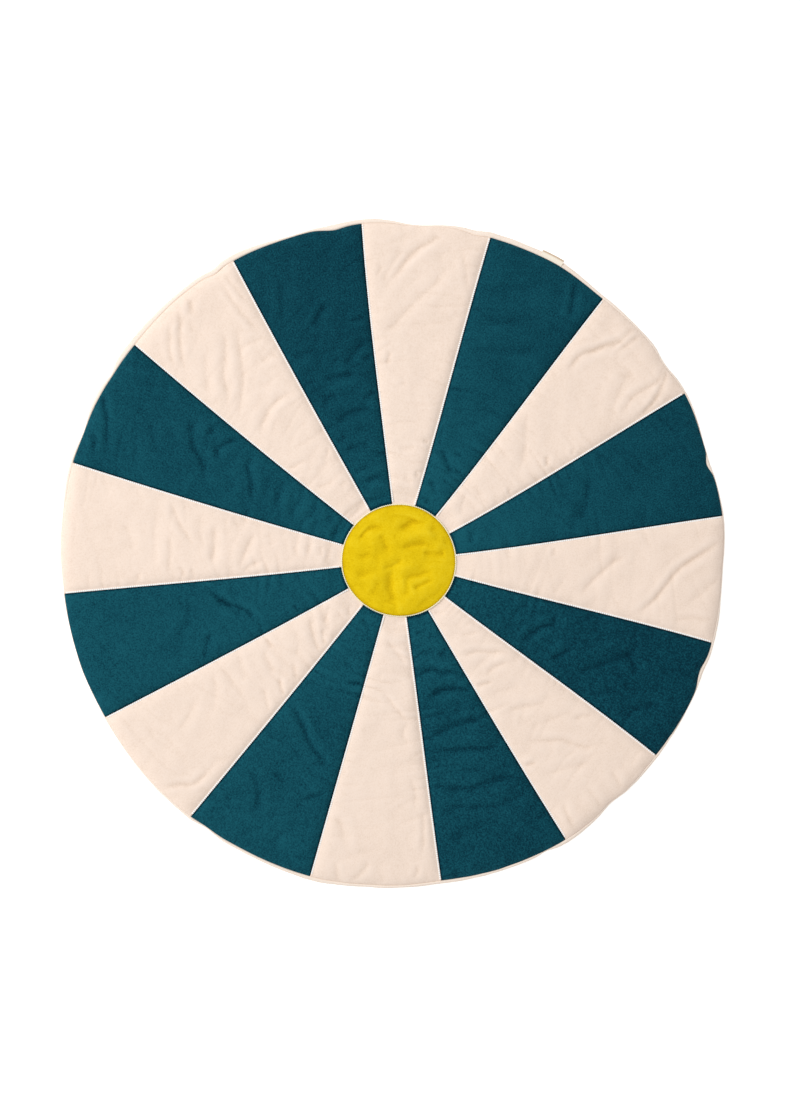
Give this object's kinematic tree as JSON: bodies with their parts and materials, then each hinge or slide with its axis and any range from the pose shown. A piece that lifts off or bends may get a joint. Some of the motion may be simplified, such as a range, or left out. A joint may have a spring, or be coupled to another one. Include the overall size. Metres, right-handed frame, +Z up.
{
  "type": "baby play mat",
  "caption": "Round quilted baby play mat: wedge panels in two colours and a centre disc sewn on a padded back cloth, lying flat on the floor.",
  "frame": {"origin": "middle of the underside's plan, on the floor", "axes": "+Z up, away from the floor; +Y towards the top of the picture and +X to its right"},
  "size_m": [1.0001, 1.0071, 0.0149],
  "materials": {
    "teal_cloth": "matte cotton canvas",
    "cream_cloth": "matte cotton canvas",
    "yellow_cloth": "matte cotton canvas",
    "back_cloth": "matte cotton canvas over soft padding",
    "label_tape": "woven tape, blank"
  },
  "bodies": {
    "root": {"pad": "back_cloth", "teal_1": "teal_cloth", "cream_1": "cream_cloth", "teal_2": "teal_cloth", "cream_2": "cream_cloth", "teal_3": "teal_cloth", "cream_3": "cream_cloth", "teal_4": "teal_cloth", "cream_4": "cream_cloth", "teal_5": "teal_cloth", "cream_5": "cream_cloth", "teal_6": "teal_cloth", "cream_6": "cream_cloth", "teal_7": "teal_cloth", "cream_7": "cream_cloth", "teal_8": "teal_cloth", "cream_8": "cream_cloth", "disc": "yellow_cloth", "label": "label_tape"}
  },
  "joints": []
}
